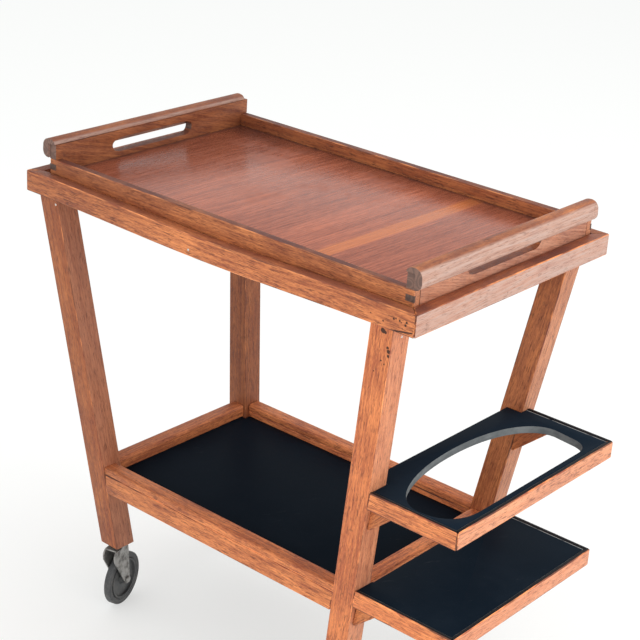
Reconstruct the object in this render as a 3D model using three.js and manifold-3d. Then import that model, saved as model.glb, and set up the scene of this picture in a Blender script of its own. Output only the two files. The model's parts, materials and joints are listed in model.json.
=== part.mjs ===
// Bar cart on four casters: a lift-off serving tray rests in a mitred top frame, four leaning
// legs carry a lipped shelf below it, and two small shelves stand out beyond the right-hand legs.
// The upper one has a D-shaped opening that holds bottles, which stand on the lower one.
//
// Millimetres, +Z up. +X points at the side shelves and -Y is the front.

import * as THREE from 'three';
import { mergeVertices } from 'three/addons/utils/BufferGeometryUtils.js';
import Module from 'manifold-3d';

const wasm = await Module();
wasm.setup();

// ---------------------------------------------------------------- driving dimensions

const GAP = 0.3; // clearance between pieces that touch

const TOP_HEIGHT = 648; // floor to the top of the frame
const FRAME_LENGTH = 648;
const FRAME_WIDTH = 399;
const FRAME_SHIFT = 2.8; // the frame's middle lies this far towards the side shelves
const RAIL_HEIGHT = 28;
const RAIL_THICK = 16.5;

const LEG_SIZE = 32.6; // square, measured level
const LEG_HALF_X = 296.4; // middle of the bay to the outer face, under the frame
const LEG_HALF_Y = 197.4;
const LEG_LEAN_X = 0.139; // how far a leg moves inwards for each millimetre it goes down
const LEG_LEAN_Y = 0.095;
const LEG_BOTTOM = 105; // floor to the foot of the leg

const BEARER_WIDTH = 12; // strips inside the long rails that the tray stands on
const BEARER_TOP = 636.6;

const TRAY_LENGTH = 603;
const TRAY_WIDTH = 364;
const TRAY_SHIFT = 7.5;
const TRAY_BOARD = 11.5; // thickness of the sides and ends
const TRAY_BOTTOM = 637;
const TRAY_SIDE_TOP = 667;
const TRAY_END_TOP = 687;
const TRAY_FLOOR_THICK = 5;
const TRAY_FLOOR_TOP = 650.6;
const SLOT_LENGTH = 150; // hand-hold in each end board
const SLOT_BOTTOM = 657.2;
const SLOT_TOP = 676.8;
const SLOT_SHIFT = -7; // the hand-holds lie a little in front of the middle
const HANDLE_BOTTOM = 668;
const HANDLE_TOP = 694.5;
const HANDLE_OVERHANG = 11; // past the outer face of the end board
const HANDLE_FRONT = -185; // the grips stand a little proud of the tray's front
const HANDLE_BACK = 176;

const SHELF_RAIL_BOTTOM = 196;
const SHELF_RAIL_TOP = 223.5;
const SHELF_RAIL_WIDTH = 23;
const SHELF_PANEL_TOP = 216.5;
const SHELF_PANEL_THICK = 9;
const LIP_TOP = 234.5;
const LIP_RADIUS = 5; // rounding along the two top edges of a lip
const END_LIP_OUTER = 235; // middle of the bay to the outer face of an end lip
const END_LIP_WIDTH = 23.5;

const STRIP_HEIGHT = 24.4; // edging round the two side shelves
const STRIP_THICK = 6;
const SIDE_PANEL_THICK = 10;
const SIDE_PANEL_DROP = 1; // the black board lies this far below the edging's top
// Setback is how far a shelf's back edging stands in front of the back of the legs.
const UPPER_SHELF = { name: 'upper', top: 395, outer: 394.8, inner: 242.5, setback: 16 };
const LOWER_SHELF = { name: 'lower', top: 243.4, outer: 394, inner: 246.5, setback: 20.5 };

const BRACKET_SIZE = 47;
const BRACKET_THICK = 15;
const BRACKET_RECESS = 5; // a front bracket stands this far behind the front edging

const WHEEL_RADIUS = 39.5;
const WHEEL_WIDTH = 11;
const WHEEL_FACETS = 32;
const TYRE_DEPTH = 9;
const CASTER_TRAIL = 12; // swivel axis to axle
const CASTER_HEADING = 14.5; // degrees each axle is turned from +X, seen from above
const FORK_INSIDE = 16; // between the fork's cheeks
const FORK_PLATE = 2.2;
const FORK_TOP = 99.5;
const CROWN_FRONT = -17; // swivel axis to the front edge of the fork's flat top
const STEM_RADIUS = 4.5;
const STEM_LENGTH = 34; // up into the foot of the leg
const COLLAR_RADIUS = 11; // washer between the foot of a leg and the fork
const AXLE_RADIUS = 3;

// ---------------------------------------------------------------- finishes

const finish = (color, roughness, metalness = 0) =>
  new THREE.MeshStandardMaterial({ color, roughness, metalness });

const oak = finish(0xa05a36, 0.5);
const paleOak = finish(0xb5704a, 0.55);
const veneer = finish(0x8a4b35, 0.4);
const blackBoard = finish(0x141b22, 0.45);
const steel = finish(0x4c4c4a, 0.5, 0.85);
const wheelDisc = finish(0x2e3033, 0.55, 0.2);
const rubber = finish(0x232426, 0.8);

const cart = new THREE.Group();

function addPiece(parent, name, geometry, material) {
  const mesh = new THREE.Mesh(geometry, material);
  mesh.name = name;
  parent.add(mesh);
  return mesh;
}

// ---------------------------------------------------------------- solids

function toSolid(geometry) {
  const bare = geometry.clone();
  bare.deleteAttribute('normal');
  bare.deleteAttribute('uv');
  const merged = mergeVertices(bare, 1e-4);
  return new wasm.Manifold(new wasm.Mesh({
    numProp: 3,
    vertProperties: new Float32Array(merged.attributes.position.array),
    triVerts: new Uint32Array(merged.index.array),
  }));
}

function toGeometry(solid) {
  const mesh = solid.getMesh();
  const geometry = new THREE.BufferGeometry();
  geometry.setAttribute('position', new THREE.BufferAttribute(mesh.vertProperties, 3));
  geometry.setIndex(new THREE.BufferAttribute(mesh.triVerts, 1));
  geometry.computeVertexNormals();
  return geometry;
}

function subtract(geometry, ...cutters) {
  return toGeometry(cutters.reduce((solid, cutter) => solid.subtract(toSolid(cutter)), toSolid(geometry)));
}

function join(...geometries) {
  return toGeometry(geometries.map(toSolid).reduce((solid, next) => solid.add(next)));
}

// A flat outline in plan, from level z0 up to level z1.
function slab(shape, z0, z1, curveSegments = 12) {
  const geometry = new THREE.ExtrudeGeometry(shape, { depth: z1 - z0, bevelEnabled: false, curveSegments });
  return geometry.translate(0, 0, z0);
}

// An outline drawn as (x, z), swept along Y from y0 to y1.
function alongY(shape, y0, y1, curveSegments = 6) {
  const geometry = new THREE.ExtrudeGeometry(shape, { depth: y1 - y0, bevelEnabled: false, curveSegments });
  return geometry.rotateX(Math.PI / 2).translate(0, y1, 0);
}

// An outline drawn as (y, z), swept along X from x0 to x1.
function alongX(shape, x0, x1, curveSegments = 6) {
  const geometry = new THREE.ExtrudeGeometry(shape, { depth: x1 - x0, bevelEnabled: false, curveSegments });
  return geometry.rotateX(Math.PI / 2).rotateZ(Math.PI / 2).translate(x0, 0, 0);
}

function box(x0, x1, y0, y1, z0, z1) {
  const geometry = new THREE.BoxGeometry(x1 - x0, y1 - y0, z1 - z0);
  return geometry.translate((x0 + x1) / 2, (y0 + y1) / 2, (z0 + z1) / 2);
}

function polygon(points) {
  return new THREE.Shape(points.map(([a, b]) => new THREE.Vector2(a, b)));
}

// The same outline seen from the other side.
function turned(shape, divisions = 6) {
  return polygon(shape.extractPoints(divisions).shape.map((point) => [-point.x, point.y]));
}

// ---------------------------------------------------------------- levels and faces of the legs

const FRAME_BOTTOM = TOP_HEIGHT - RAIL_HEIGHT;

const legOuterX = (z) => LEG_HALF_X - LEG_LEAN_X * (FRAME_BOTTOM - z);
const legOuterY = (z) => LEG_HALF_Y - LEG_LEAN_Y * (FRAME_BOTTOM - z);
const legInnerX = (z) => legOuterX(z) - LEG_SIZE;
const legInnerY = (z) => legOuterY(z) - LEG_SIZE;

// ---------------------------------------------------------------- top frame

// Half a rail's outline in plan runs from its long outer edge to its short mitred inner edge.
function mitredRail(halfLength, face, thick) {
  return [
    [-halfLength, face],
    [halfLength, face],
    [halfLength - thick, face + thick],
    [-halfLength + thick, face + thick],
  ];
}

function addTopFrame() {
  const frame = new THREE.Group();
  frame.position.x = FRAME_SHIFT;
  cart.add(frame);

  const longRail = polygon(mitredRail(FRAME_LENGTH / 2 - GAP, -FRAME_WIDTH / 2, RAIL_THICK));
  const shortRail = polygon(mitredRail(FRAME_WIDTH / 2 - GAP, -FRAME_LENGTH / 2, RAIL_THICK));
  addPiece(frame, 'front_top_rail', slab(longRail, FRAME_BOTTOM, TOP_HEIGHT), oak);
  addPiece(frame, 'rear_top_rail', slab(longRail, FRAME_BOTTOM, TOP_HEIGHT).rotateZ(Math.PI), oak);
  addPiece(frame, 'right_top_rail', slab(shortRail, FRAME_BOTTOM, TOP_HEIGHT).rotateZ(Math.PI / 2), oak);
  addPiece(frame, 'left_top_rail', slab(shortRail, FRAME_BOTTOM, TOP_HEIGHT).rotateZ(-Math.PI / 2), oak);

  const inside = FRAME_LENGTH / 2 - RAIL_THICK - GAP;
  const outerY = FRAME_WIDTH / 2 - RAIL_THICK - GAP;
  for (const [name, side] of [['front', -1], ['rear', 1]]) {
    const faces = [side * outerY, side * (outerY - BEARER_WIDTH)].sort((a, b) => a - b);
    const bearer = box(-inside, inside, ...faces, FRAME_BOTTOM, BEARER_TOP);
    addPiece(frame, `${name}_tray_bearer`, bearer, paleOak);
  }
}

// ---------------------------------------------------------------- legs

const CORNERS = [
  { name: 'front_left', x: -1, y: -1 },
  { name: 'front_right', x: 1, y: -1 },
  { name: 'rear_left', x: -1, y: 1 },
  { name: 'rear_right', x: 1, y: 1 },
];

function footCentre(corner) {
  return {
    x: corner.x * (legOuterX(LEG_BOTTOM) - LEG_SIZE / 2),
    y: corner.y * (legOuterY(LEG_BOTTOM) - LEG_SIZE / 2),
  };
}

// A square post is drawn upright and then sheared, so its ends stay level.
function addLeg(corner) {
  const top = FRAME_BOTTOM - GAP;
  const foot = footCentre(corner);
  const post = box(-LEG_SIZE / 2, LEG_SIZE / 2, -LEG_SIZE / 2, LEG_SIZE / 2, 0, top - LEG_BOTTOM);
  const lean = new THREE.Matrix4();
  lean.makeShear(0, 0, 0, 0, corner.x * LEG_LEAN_X, corner.y * LEG_LEAN_Y);
  post.applyMatrix4(lean);
  const bore = new THREE.CylinderGeometry(STEM_RADIUS + GAP, STEM_RADIUS + GAP, STEM_LENGTH + 2, 20);
  bore.rotateX(Math.PI / 2).translate(0, 0, STEM_LENGTH / 2);
  const leg = addPiece(cart, `${corner.name}_leg`, subtract(post, bore), oak);
  leg.position.set(foot.x, foot.y, LEG_BOTTOM);
}

// ---------------------------------------------------------------- main shelf

// A long piece between the legs' inner faces, whose ends lean as the legs do.
function betweenLegs(inner, z0, z1) {
  return [
    [-inner(z0) + GAP, z0],
    [inner(z0) - GAP, z0],
    [inner(z1) - GAP, z1],
    [-inner(z1) + GAP, z1],
  ];
}

// A lip's section, as (across, z), with both top edges rounded.
function lipSection(a0, a1, z0, z1) {
  const shape = new THREE.Shape();
  shape.moveTo(a0, z0);
  shape.lineTo(a1, z0);
  shape.lineTo(a1, z1 - LIP_RADIUS);
  shape.quadraticCurveTo(a1, z1, a1 - LIP_RADIUS, z1);
  shape.lineTo(a0 + LIP_RADIUS, z1);
  shape.quadraticCurveTo(a0, z1, a0, z1 - LIP_RADIUS);
  shape.closePath();
  return shape;
}

function trimmed(piece, envelope) {
  return toGeometry(toSolid(piece).intersect(toSolid(envelope)));
}

function addMainShelf() {
  const railFace = legOuterY((SHELF_RAIL_BOTTOM + LIP_TOP) / 2) - 0.5;
  const railBack = railFace - SHELF_RAIL_WIDTH;
  const railOutline = polygon(betweenLegs(legInnerX, SHELF_RAIL_BOTTOM, SHELF_RAIL_TOP));
  const lipOutline = polygon(betweenLegs(legInnerX, SHELF_RAIL_TOP, LIP_TOP + 1));
  const half = legInnerX(LIP_TOP);
  for (const [name, side] of [['front', -1], ['rear', 1]]) {
    const faces = [side * railFace, side * railBack].sort((a, b) => a - b);
    addPiece(cart, `${name}_shelf_rail`, alongY(railOutline, ...faces), oak);
    const section = lipSection(...faces, SHELF_RAIL_TOP + GAP, LIP_TOP);
    const lip = trimmed(alongX(section, -half, half), alongY(lipOutline, faces[0] - 1, faces[1] + 1));
    addPiece(cart, `${name}_shelf_lip`, lip, oak);
  }

  const panelBottom = SHELF_PANEL_TOP - SHELF_PANEL_THICK;
  const battenOutline = polygon(betweenLegs(legInnerY, SHELF_RAIL_BOTTOM, panelBottom - GAP));
  const lipEnds = polygon(betweenLegs(legInnerY, SHELF_PANEL_TOP + GAP, LIP_TOP + 1));
  const reach = legInnerY(LIP_TOP);
  for (const [name, side] of [['left', -1], ['right', 1]]) {
    const faces = [side * END_LIP_OUTER, side * (END_LIP_OUTER - END_LIP_WIDTH)].sort((a, b) => a - b);
    addPiece(cart, `${name}_shelf_batten`, alongX(battenOutline, ...faces), paleOak);
    const section = lipSection(...faces, SHELF_PANEL_TOP + GAP, LIP_TOP);
    const lip = trimmed(alongY(section, -reach, reach), alongX(lipEnds, faces[0] - 1, faces[1] + 1));
    addPiece(cart, `${name}_shelf_lip`, lip, oak);
  }

  const notchX = legInnerX(panelBottom) - 1;
  const notchY = legInnerY(panelBottom) - 1;
  const panelX = END_LIP_OUTER;
  const panelY = railBack - GAP;
  const panel = polygon([
    [-notchX, -panelY], [notchX, -panelY], [notchX, -notchY], [panelX, -notchY],
    [panelX, notchY], [notchX, notchY], [notchX, panelY], [-notchX, panelY],
    [-notchX, notchY], [-panelX, notchY], [-panelX, -notchY], [-notchX, -notchY],
  ]);
  addPiece(cart, 'shelf_panel', slab(panel, panelBottom, SHELF_PANEL_TOP), blackBoard);
}

// ---------------------------------------------------------------- side shelves

// The bottle opening: straight beside the outer edging, and a long round bay between the legs.
function bottleOpening() {
  const opening = new THREE.Path();
  opening.moveTo(332, -167);
  opening.quadraticCurveTo(380, -165, 381, -112);
  opening.lineTo(380, 101);
  opening.quadraticCurveTo(379, 123, 358, 127);
  opening.lineTo(325, 131);
  opening.bezierCurveTo(287, 130, 265, 70, 265, -5);
  opening.bezierCurveTo(265, -92, 291, -168, 332, -167);
  return opening;
}

function addSideShelf(shelf, opening) {
  const panelTop = shelf.top - SIDE_PANEL_DROP;
  const panelBottom = panelTop - SIDE_PANEL_THICK;
  const stripBottom = shelf.top - STRIP_HEIGHT;
  const front = -legOuterY(shelf.top) + 0.3;
  const back = legOuterY(shelf.top) - shelf.setback;
  const legFace = legOuterX(shelf.top);
  const panelOuter = shelf.outer - STRIP_THICK - GAP;

  const frontPanel = front + STRIP_THICK + GAP;
  const backPanel = back - STRIP_THICK - GAP;
  const besideLeg = legFace + 0.6;
  const behindLeg = -legInnerY(panelBottom) + 1;
  const panel = polygon([
    [panelOuter, frontPanel], [panelOuter, backPanel], [besideLeg, backPanel],
    [besideLeg, -behindLeg], [shelf.inner, -behindLeg], [shelf.inner, behindLeg],
    [besideLeg, behindLeg], [besideLeg, frontPanel],
  ]);
  if (opening) panel.holes.push(opening);
  addPiece(cart, `${shelf.name}_side_panel`, slab(panel, panelBottom, panelTop, 16), blackBoard);

  const stripOutline = polygon([
    [legOuterX(stripBottom) + GAP, stripBottom],
    [shelf.outer, stripBottom],
    [shelf.outer, shelf.top],
    [legFace + GAP, shelf.top],
  ]);
  const inside = shelf.outer - STRIP_THICK;
  const mitreGap = 1.5 * GAP;
  const addStrip = (name, plan) => {
    const strip = trimmed(alongY(stripOutline, front, back), slab(polygon(plan), stripBottom, shelf.top));
    addPiece(cart, `${shelf.name}_side_${name}_strip`, strip, oak);
  };
  addStrip('front', [
    [0, front], [shelf.outer, front], [inside, front + STRIP_THICK], [0, front + STRIP_THICK],
  ]);
  addStrip('rear', [
    [0, back - STRIP_THICK], [inside, back - STRIP_THICK], [shelf.outer, back], [0, back],
  ]);
  addStrip('outer', [
    [shelf.outer, front + mitreGap], [shelf.outer, back - mitreGap],
    [inside, back - STRIP_THICK - mitreGap], [inside, front + STRIP_THICK + mitreGap],
  ]);

  const bracketTop = panelBottom - GAP;
  const bracketFoot = bracketTop - BRACKET_SIZE;
  const bracketOutline = new THREE.Shape();
  bracketOutline.moveTo(legOuterX(bracketTop) + GAP, bracketTop);
  bracketOutline.lineTo(legOuterX(bracketFoot) + GAP, bracketFoot);
  bracketOutline.lineTo(legOuterX(bracketFoot) + 4, bracketFoot);
  bracketOutline.lineTo(legOuterX(bracketTop) + BRACKET_SIZE, bracketTop - 4);
  bracketOutline.lineTo(legOuterX(bracketTop) + BRACKET_SIZE, bracketTop);
  bracketOutline.closePath();
  const frontInset = frontPanel + BRACKET_RECESS + BRACKET_THICK;
  const rearInset = backPanel;
  const frontBracket = alongY(bracketOutline, frontInset - BRACKET_THICK, frontInset);
  const rearBracket = alongY(bracketOutline, rearInset - BRACKET_THICK, rearInset);
  addPiece(cart, `${shelf.name}_front_bracket`, frontBracket, oak);
  addPiece(cart, `${shelf.name}_rear_bracket`, rearBracket, oak);
}

// ---------------------------------------------------------------- tray

// The hand-hold's outline as (y, z): flat below and above, drawn out to a blunt point at each end.
function handHold() {
  const half = SLOT_LENGTH / 2;
  const middle = SLOT_BOTTOM + 0.6 * (SLOT_TOP - SLOT_BOTTOM);
  const slot = new THREE.Path();
  slot.moveTo(SLOT_SHIFT - half + 14, SLOT_BOTTOM);
  slot.lineTo(SLOT_SHIFT + half - 12, SLOT_BOTTOM);
  slot.quadraticCurveTo(SLOT_SHIFT + half, SLOT_BOTTOM + 1, SLOT_SHIFT + half, middle);
  slot.quadraticCurveTo(SLOT_SHIFT + half, SLOT_TOP - 1, SLOT_SHIFT + half - 16, SLOT_TOP);
  slot.lineTo(SLOT_SHIFT - half + 22, SLOT_TOP);
  slot.quadraticCurveTo(SLOT_SHIFT - half + 2, SLOT_TOP - 1, SLOT_SHIFT - half, middle);
  slot.quadraticCurveTo(SLOT_SHIFT - half - 1, SLOT_BOTTOM + 2, SLOT_SHIFT - half + 14, SLOT_BOTTOM);
  return slot;
}

// The end board rises between the sides' ends, which it overlaps in two notches.
function endBoardOutline() {
  const half = TRAY_WIDTH / 2;
  const outline = new THREE.Shape();
  outline.moveTo(-half + TRAY_BOARD + GAP, TRAY_BOTTOM);
  outline.lineTo(half - TRAY_BOARD - GAP, TRAY_BOTTOM);
  outline.lineTo(half - TRAY_BOARD - GAP, TRAY_SIDE_TOP + GAP);
  outline.lineTo(half, TRAY_SIDE_TOP + GAP);
  outline.lineTo(half, TRAY_END_TOP);
  outline.lineTo(-half, TRAY_END_TOP);
  outline.lineTo(-half, TRAY_SIDE_TOP + GAP);
  outline.lineTo(-half + TRAY_BOARD + GAP, TRAY_SIDE_TOP + GAP);
  outline.closePath();
  outline.holes.push(handHold());
  return outline;
}

// The handle's section for the right-hand end, as (x, z) from the end board's outer face.
function handleSection() {
  const inner = -TRAY_BOARD;
  const seat = TRAY_END_TOP + GAP;
  const middle = (HANDLE_BOTTOM + HANDLE_TOP) / 2;
  const shape = new THREE.Shape();
  shape.moveTo(GAP, HANDLE_BOTTOM + GAP);
  shape.quadraticCurveTo(HANDLE_OVERHANG - 1, HANDLE_BOTTOM + 0.5, HANDLE_OVERHANG, middle - 4);
  shape.lineTo(HANDLE_OVERHANG - 0.5, middle + 5);
  shape.quadraticCurveTo(HANDLE_OVERHANG - 3, HANDLE_TOP - 0.5, 0, HANDLE_TOP);
  shape.quadraticCurveTo(inner + 1, HANDLE_TOP, inner, seat + 0.8);
  shape.lineTo(inner, seat);
  shape.lineTo(GAP, seat);
  shape.closePath();
  return shape;
}

function addTray() {
  const tray = new THREE.Group();
  tray.position.x = TRAY_SHIFT;
  cart.add(tray);
  const halfX = TRAY_LENGTH / 2;
  const halfY = TRAY_WIDTH / 2;

  for (const [name, side] of [['front', -1], ['rear', 1]]) {
    const faces = [side * halfY, side * (halfY - TRAY_BOARD)].sort((a, b) => a - b);
    const board = box(-halfX, halfX, ...faces, TRAY_BOTTOM, TRAY_SIDE_TOP);
    addPiece(tray, `tray_${name}_side`, board, oak);
  }

  for (const [name, side] of [['left', -1], ['right', 1]]) {
    const faces = [side * halfX, side * (halfX - TRAY_BOARD)].sort((a, b) => a - b);
    addPiece(tray, `tray_${name}_end_board`, alongX(endBoardOutline(), ...faces, 12), oak);
    const section = side > 0 ? handleSection() : turned(handleSection());
    const handle = alongY(section, HANDLE_FRONT, HANDLE_BACK, 6);
    handle.translate(side * halfX, 0, 0);
    addPiece(tray, `tray_${name}_handle`, handle, oak);
  }

  const inX = halfX - TRAY_BOARD - GAP;
  const inY = halfY - TRAY_BOARD - GAP;
  const floor = box(-inX, inX, -inY, inY, TRAY_FLOOR_TOP - TRAY_FLOOR_THICK, TRAY_FLOOR_TOP);
  addPiece(tray, 'tray_floor', floor, veneer);
}

// ---------------------------------------------------------------- casters

function ring(points, segments) {
  return new THREE.LatheGeometry(points.map(([r, a]) => new THREE.Vector2(r, a)), segments);
}

// The stem stands in the leg's foot, with a collar under the foot and a head under the fork.
function stemGeometry() {
  const neck = FORK_TOP - FORK_PLATE - GAP;
  return ring([
    [0, neck - 2.5], [7, neck - 2.5], [7, neck], [STEM_RADIUS, neck],
    [STEM_RADIUS, FORK_TOP + GAP], [COLLAR_RADIUS, FORK_TOP + GAP], [COLLAR_RADIUS, LEG_BOTTOM - GAP],
    [STEM_RADIUS, LEG_BOTTOM - GAP], [STEM_RADIUS, LEG_BOTTOM + STEM_LENGTH - 3],
    [STEM_RADIUS - 1.5, LEG_BOTTOM + STEM_LENGTH - 1.5], [0, LEG_BOTTOM + STEM_LENGTH - 1.5],
  ], 20).rotateX(Math.PI / 2);
}

// One cheek of the fork as (y, z): broad under the crown and drawn in to the axle.
function cheekOutline() {
  const shape = new THREE.Shape();
  shape.moveTo(CROWN_FRONT, FORK_TOP);
  shape.quadraticCurveTo(CROWN_FRONT - 6, FORK_TOP - 3, CROWN_FRONT - 6, FORK_TOP - 9);
  shape.lineTo(CROWN_FRONT - 5, FORK_TOP - 16);
  shape.lineTo(CASTER_TRAIL - 6, WHEEL_RADIUS - 3);
  shape.quadraticCurveTo(CASTER_TRAIL - 3, WHEEL_RADIUS - 7.5, CASTER_TRAIL + 1, WHEEL_RADIUS - 7);
  shape.quadraticCurveTo(CASTER_TRAIL + 6, WHEEL_RADIUS - 6, CASTER_TRAIL + 6, WHEEL_RADIUS);
  shape.lineTo(CASTER_TRAIL + 2, FORK_TOP - 12);
  shape.lineTo(CASTER_TRAIL, FORK_TOP);
  shape.closePath();
  const hole = new THREE.Path();
  hole.absarc(CASTER_TRAIL, WHEEL_RADIUS, AXLE_RADIUS + GAP, 0, 2 * Math.PI, true);
  shape.holes.push(hole);
  return shape;
}

function forkGeometry() {
  const outside = FORK_INSIDE / 2 + FORK_PLATE;
  const near = alongX(cheekOutline(), FORK_INSIDE / 2, outside, 4);
  const far = alongX(cheekOutline(), -outside, -FORK_INSIDE / 2, 4);
  const crown = box(-outside, outside, CROWN_FRONT, CASTER_TRAIL, FORK_TOP - FORK_PLATE, FORK_TOP);
  const hole = new THREE.CylinderGeometry(STEM_RADIUS + GAP, STEM_RADIUS + GAP, 20, 20);
  hole.rotateX(Math.PI / 2).translate(0, 0, FORK_TOP);
  return subtract(join(crown, near, far), hole);
}

// Wheel rings are drawn as (radius, distance along the axle), then laid along X with a flat down.
function onAxle(points) {
  return ring(points, WHEEL_FACETS).rotateZ(-Math.PI / 2).rotateX(Math.PI / WHEEL_FACETS);
}

// The tread's corners lie a little outside the wheel's radius, so that its flats lie on it.
function tyreGeometry() {
  const half = WHEEL_WIDTH / 2;
  const tread = WHEEL_RADIUS / Math.cos(Math.PI / WHEEL_FACETS);
  const inner = WHEEL_RADIUS - TYRE_DEPTH;
  return onAxle([
    [inner, -half + 0.5], [tread - 3, -half], [tread - 0.8, -half + 1.5], [tread, -half + 3.2],
    [tread, half - 3.2], [tread - 0.8, half - 1.5], [tread - 3, half], [inner, half - 0.5],
    [inner, -half + 0.5],
  ]);
}

function discGeometry() {
  const rim = WHEEL_RADIUS - TYRE_DEPTH - GAP;
  const bore = AXLE_RADIUS + GAP;
  const hub = FORK_INSIDE / 2 - GAP;
  return onAxle([
    [bore, -hub], [8, -hub], [9, -3], [rim - 4, -1.5], [rim - 2.5, -5], [rim, -5],
    [rim, 5], [rim - 2.5, 5], [rim - 4, 1.5], [9, 3], [8, hub], [bore, hub], [bore, -hub],
  ]);
}

function axleGeometry() {
  const outside = FORK_INSIDE / 2 + FORK_PLATE + GAP;
  return ring([
    [0, -outside - 2], [4.6, -outside - 2], [5.4, -outside], [AXLE_RADIUS, -outside],
    [AXLE_RADIUS, outside], [5.4, outside], [4.6, outside + 2], [0, outside + 2],
  ], 18).rotateZ(-Math.PI / 2);
}

function addCaster(corner) {
  const foot = footCentre(corner);
  const caster = new THREE.Group();
  caster.position.set(foot.x, foot.y, 0);
  caster.rotation.z = THREE.MathUtils.degToRad(CASTER_HEADING);
  cart.add(caster);
  addPiece(caster, `${corner.name}_caster_stem`, stemGeometry(), steel);
  addPiece(caster, `${corner.name}_caster_fork`, forkGeometry(), steel);

  const wheel = new THREE.Group();
  wheel.position.set(0, CASTER_TRAIL, WHEEL_RADIUS);
  caster.add(wheel);
  addPiece(wheel, `${corner.name}_caster_axle`, axleGeometry(), steel);
  addPiece(wheel, `${corner.name}_caster_disc`, discGeometry(), wheelDisc);
  addPiece(wheel, `${corner.name}_caster_tyre`, tyreGeometry(), rubber);
}

// ---------------------------------------------------------------- the whole cart

addTopFrame();
CORNERS.forEach(addLeg);
addMainShelf();
addSideShelf(UPPER_SHELF, bottleOpening());
addSideShelf(LOWER_SHELF, null);
addTray();
CORNERS.forEach(addCaster);

// The origin is on the floor under the middle of the whole cart's box.
const leftEnd = FRAME_SHIFT - FRAME_LENGTH / 2;
cart.position.x = -(leftEnd + UPPER_SHELF.outer) / 2;

export default cart;
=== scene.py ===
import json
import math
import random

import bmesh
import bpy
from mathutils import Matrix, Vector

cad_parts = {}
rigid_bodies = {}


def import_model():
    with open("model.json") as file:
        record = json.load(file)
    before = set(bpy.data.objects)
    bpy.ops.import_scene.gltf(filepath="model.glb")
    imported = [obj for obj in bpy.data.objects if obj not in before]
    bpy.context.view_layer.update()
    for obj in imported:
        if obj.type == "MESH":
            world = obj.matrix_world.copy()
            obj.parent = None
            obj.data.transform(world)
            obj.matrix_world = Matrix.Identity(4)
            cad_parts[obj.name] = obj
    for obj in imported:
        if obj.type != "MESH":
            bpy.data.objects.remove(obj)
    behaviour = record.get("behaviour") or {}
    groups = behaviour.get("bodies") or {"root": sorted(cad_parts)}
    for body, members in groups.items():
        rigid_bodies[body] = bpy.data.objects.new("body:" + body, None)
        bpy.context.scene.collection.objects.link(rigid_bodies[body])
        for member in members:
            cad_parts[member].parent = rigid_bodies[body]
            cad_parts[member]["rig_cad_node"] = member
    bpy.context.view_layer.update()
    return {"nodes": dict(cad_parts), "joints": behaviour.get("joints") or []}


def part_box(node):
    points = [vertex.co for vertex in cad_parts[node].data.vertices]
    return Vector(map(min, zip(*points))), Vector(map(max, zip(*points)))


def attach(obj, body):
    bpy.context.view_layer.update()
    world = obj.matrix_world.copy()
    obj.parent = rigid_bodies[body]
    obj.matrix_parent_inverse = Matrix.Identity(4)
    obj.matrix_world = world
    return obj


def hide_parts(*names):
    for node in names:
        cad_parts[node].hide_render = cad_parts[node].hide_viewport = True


bl_info = {
    "name": "Bar Cart on Casters",
    "version": (1, 0, 0),
    "blender": (4, 5, 0),
    "location": "3D View > Sidebar > Bar Cart",
    "description": "Builds an old bar cart's woodwork, boards, tray and casters round its frame",
    "category": "Object",
}

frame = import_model()

MERGE = 1e-6  # vertices nearer than this are one
FLAT = math.radians(1.0)  # faces that meet at less than this are one flat face
SOFT_EDGE = math.radians(32.0)  # edges that turn less than this are shaded as curved
SHARP_EDGE = math.radians(38)  # edges that turn more than this are rounded
CORNERS = ("front_left", "front_right", "rear_left", "rear_right")
FACE, END, ARRIS = range(3)  # the three finishes of a wooden piece, by material slot

LEG_THICKNESS = 0.0326
LEG_LEAN = (0.139, 0.095)  # how far the front-right leg moves in, across and back, per metre down
# How light each leg's wood is: partly its own tone and partly painted shade, which makes the rear
# and left legs darker.
LEG_SHADE_AND_TONE = {"front_left": 0.88, "front_right": 1.22, "rear_left": 0.66, "rear_right": 0.78}
SAG_CUTS = 31  # how many times the front top rail is cut across, to bend

WHEEL_SEGMENTS = 72
TYRE_WIDTH = 0.011
TYRE_DEPTH = 0.0090  # from the tread in to the wheel disc
DISC_WIDTH = 0.0104
DISC_CLEARANCE = 0.0003

FINGER_MIDDLE = 0.6565  # height of the fingers' middle above the floor
FINGER_DEPTH = 0.003
FINGER_PROUD = 0.00025  # how far a finger stands out of the tray's side
END_BOARD = 0.0115  # thickness of the tray's end boards

FLOOR_SHADE = 0.55  # the floor's own colour, as a share of the colour it glows with
FLOOR_GLOW = 0.52
SKY_STRENGTH = 0.85


# ---------------------------------------------------------------- shader expressions


class Wire:
    """An output socket of a shader node, with arithmetic on its value."""

    def __init__(self, finish, socket):
        self.finish = finish
        self.socket = socket

    def __add__(self, other):
        return self.finish.math("ADD", self, other)

    def __sub__(self, other):
        return self.finish.math("SUBTRACT", self, other)

    def __mul__(self, other):
        return self.finish.math("MULTIPLY", self, other)

    def __rsub__(self, other):
        return self.finish.math("SUBTRACT", other, self)

    __radd__ = __add__
    __rmul__ = __mul__


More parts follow.
